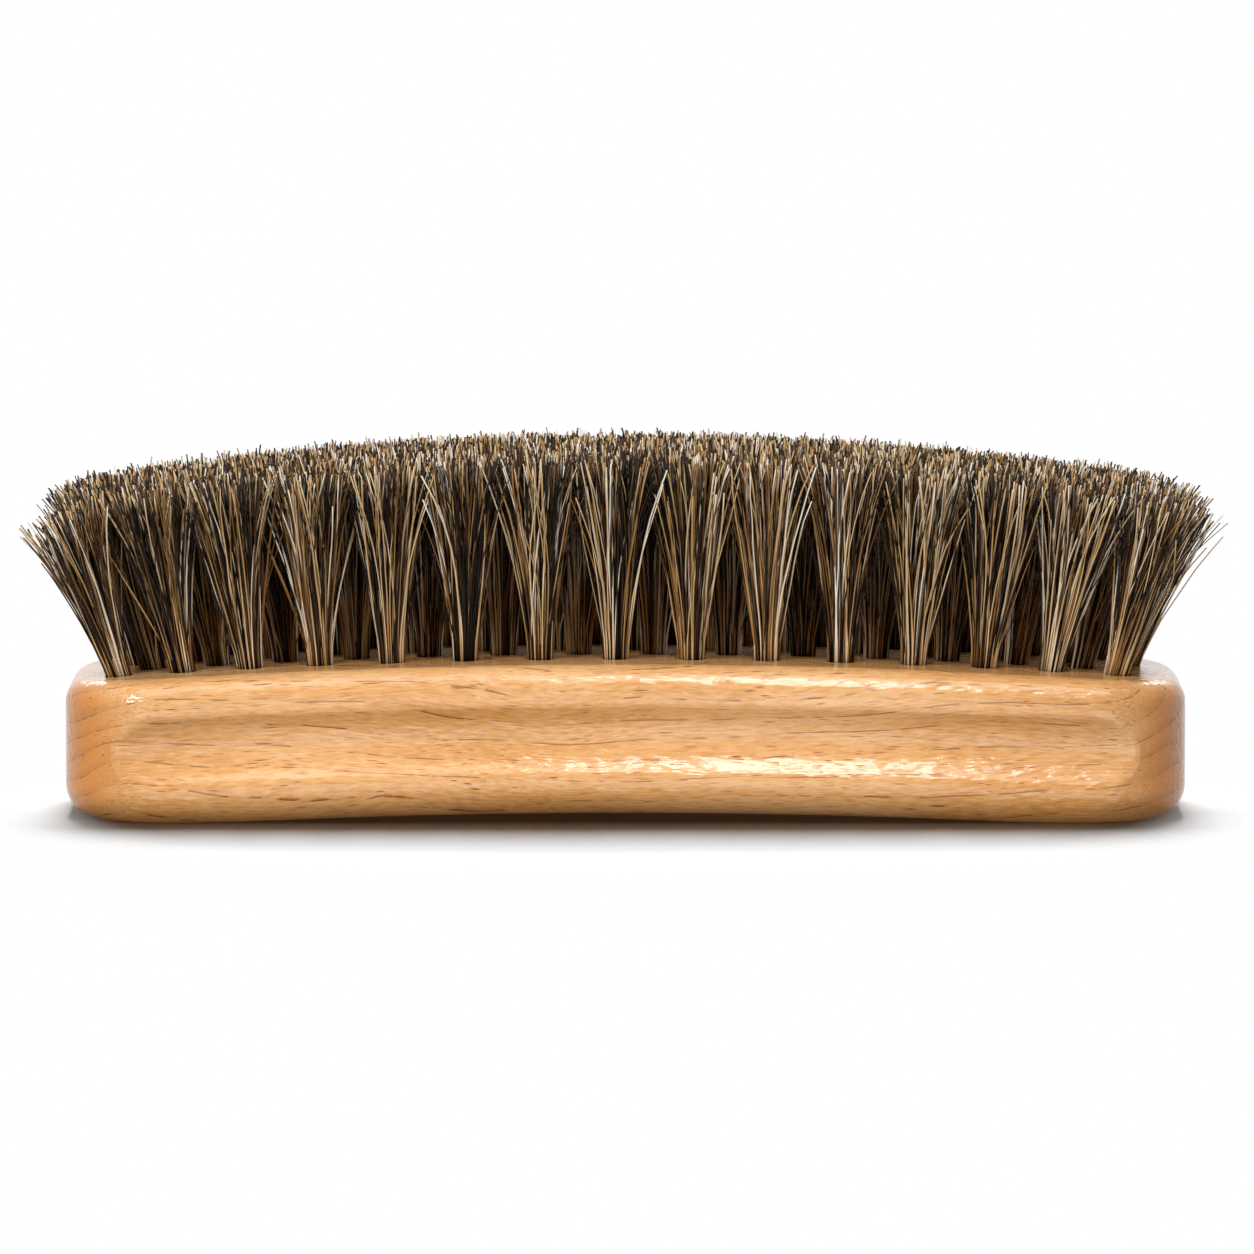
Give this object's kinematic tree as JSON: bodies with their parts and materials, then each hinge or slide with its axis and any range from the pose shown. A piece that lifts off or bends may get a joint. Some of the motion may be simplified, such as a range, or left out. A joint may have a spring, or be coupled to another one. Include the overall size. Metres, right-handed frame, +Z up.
{
  "type": "shoe shine brush",
  "caption": "Shoe shine brush for buffing leather: an arched, lacquered beech block with a finger scoop along each side and staggered rows of fanned horsehair tufts.",
  "frame": {"origin": "under the middle of the block, on the surface that the brush stands on, back down", "axes": "+Z up towards the hair tips, +X along the block, -Y towards the front of the picture"},
  "size_m": [0.1794, 0.05, 0.0568],
  "materials": {
    "lacquered_beech": "honey-toned clear lacquer, satin to gloss",
    "horsehair": "natural mixed brown, black and grey hair with trimmed ends",
    "steel_wire": "plain drawn flat wire"
  },
  "bodies": {
    "root": {"back_tuft_01": "horsehair", "back_tuft_02": "horsehair", "back_tuft_03": "horsehair", "back_tuft_04": "horsehair", "back_tuft_05": "horsehair", "back_tuft_06": "horsehair", "back_tuft_07": "horsehair", "back_tuft_08": "horsehair", "back_tuft_09": "horsehair", "back_tuft_10": "horsehair", "back_tuft_11": "horsehair", "back_tuft_12": "horsehair", "back_tuft_13": "horsehair", "back_tuft_14": "horsehair", "block": "lacquered_beech", "front_tuft_01": "horsehair", "front_tuft_02": "horsehair", "front_tuft_03": "horsehair", "front_tuft_04": "horsehair", "front_tuft_05": "horsehair", "front_tuft_06": "horsehair", "front_tuft_07": "horsehair", "front_tuft_08": "horsehair", "front_tuft_09": "horsehair", "front_tuft_10": "horsehair", "front_tuft_11": "horsehair", "front_tuft_12": "horsehair", "front_tuft_13": "horsehair", "front_tuft_14": "horsehair", "front_tuft_15": "horsehair", "inner_back_tuft_01": "horsehair", "inner_back_tuft_02": "horsehair", "inner_back_tuft_03": "horsehair", "inner_back_tuft_04": "horsehair", "inner_back_tuft_05": "horsehair", "inner_back_tuft_06": "horsehair", "inner_back_tuft_07": "horsehair", "inner_back_tuft_08": "horsehair", "inner_back_tuft_09": "horsehair", "inner_back_tuft_10": "horsehair", "inner_back_tuft_11": "horsehair", "inner_back_tuft_12": "horsehair", "inner_back_tuft_13": "horsehair", "inner_back_tuft_14": "horsehair", "inner_back_tuft_15": "horsehair", "inner_front_tuft_01": "horsehair", "inner_front_tuft_02": "horsehair", "inner_front_tuft_03": "horsehair", "inner_front_tuft_04": "horsehair", "inner_front_tuft_05": "horsehair", "inner_front_tuft_06": "horsehair", "inner_front_tuft_07": "horsehair", "inner_front_tuft_08": "horsehair", "inner_front_tuft_09": "horsehair", "inner_front_tuft_10": "horsehair", "inner_front_tuft_11": "horsehair", "inner_front_tuft_12": "horsehair", "inner_front_tuft_13": "horsehair", "inner_front_tuft_14": "horsehair", "tuft_anchors": "steel_wire"}
  },
  "joints": []
}
